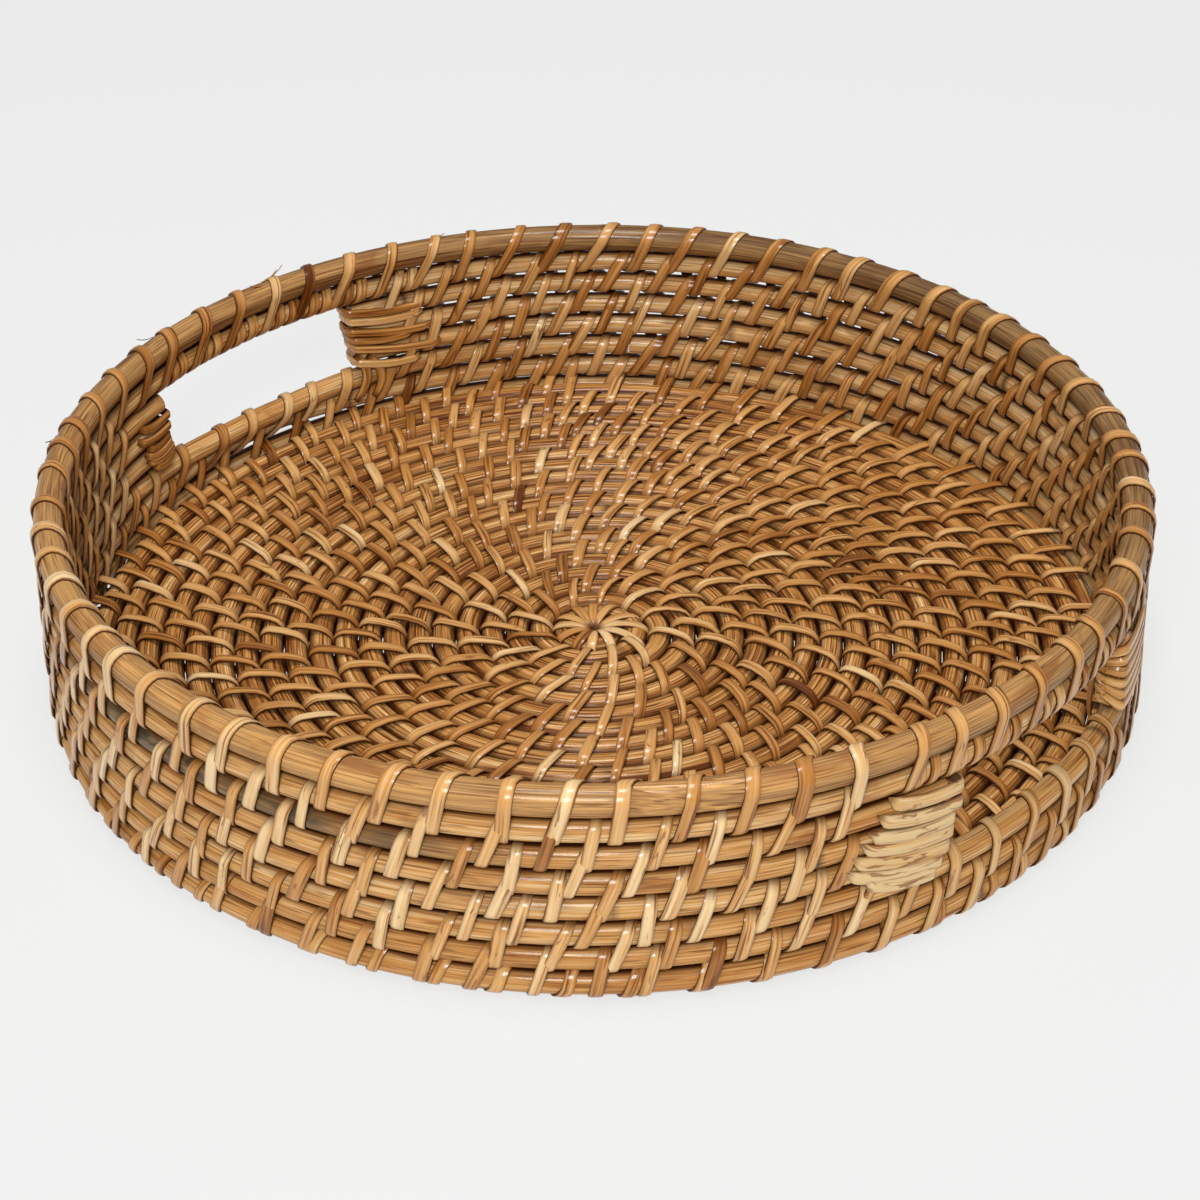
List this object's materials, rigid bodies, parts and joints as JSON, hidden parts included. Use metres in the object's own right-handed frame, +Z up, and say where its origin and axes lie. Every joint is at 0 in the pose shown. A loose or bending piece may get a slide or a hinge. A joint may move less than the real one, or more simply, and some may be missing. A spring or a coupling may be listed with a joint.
{
  "type": "coiled cane tray",
  "caption": "Round tray of coiled cane with a low stitched wall, a lashed rim and opposite hand-holds, for carrying and serving.",
  "frame": {"origin": "middle of the underside, on the surface the tray stands on", "axes": "+Z up through the middle of the floor; the hand-holds lie near the X axis, 1.8 degrees to the back"},
  "size_m": [0.4124, 0.413, 0.0848],
  "materials": {
    "cane": "varnished satin",
    "rim_cane": "varnished satin",
    "strip": "varnished gloss",
    "pale_strip": "varnished gloss"
  },
  "bodies": {
    "root": {"floor_coil": "cane", "rim_cane": "rim_cane", "rim_lashing": "strip", "foot_cane": "cane", "sill_cane_1": "cane", "sill_cane_2": "cane", "hold_bar_cane": "cane", "front_cane_1": "cane", "front_cane_2": "cane", "front_cane_3": "cane", "back_cane_1": "cane", "back_cane_2": "cane", "back_cane_3": "cane", "binding_right_front": "pale_strip", "binding_right_back": "pale_strip", "binding_left_front": "pale_strip", "binding_left_back": "pale_strip"}
  },
  "joints": []
}
